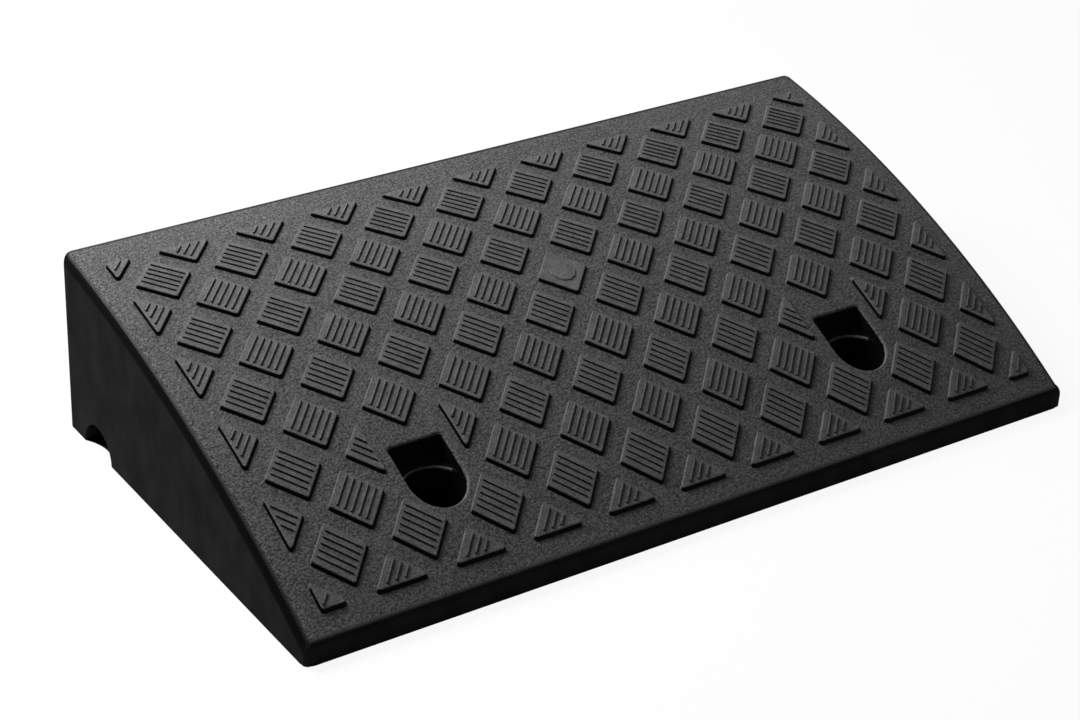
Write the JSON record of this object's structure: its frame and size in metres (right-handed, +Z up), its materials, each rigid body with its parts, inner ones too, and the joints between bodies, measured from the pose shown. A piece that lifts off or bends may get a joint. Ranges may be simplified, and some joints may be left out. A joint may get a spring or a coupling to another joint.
{
  "type": "plastic kerb ramp",
  "caption": "Hollow moulded plastic wedge with a convex checkered tread that carries wheels over a kerb, with bolt pockets, a drain channel and rubber feet.",
  "frame": {"origin": "middle of the base rectangle, on the ground under the feet", "axes": "+X along the kerb, +Y up the slope towards the kerb, +Z up"},
  "size_m": [0.5, 0.267, 0.1066],
  "materials": {
    "moulded_plastic": "fine moulded grain",
    "foot_rubber": "matte"
  },
  "bodies": {
    "root": {"ramp_body": "moulded_plastic", "foot_front_left": "foot_rubber", "foot_front_middle": "foot_rubber", "foot_front_right": "foot_rubber", "foot_back_left": "foot_rubber", "foot_back_middle": "foot_rubber", "foot_back_right": "foot_rubber"}
  },
  "joints": []
}
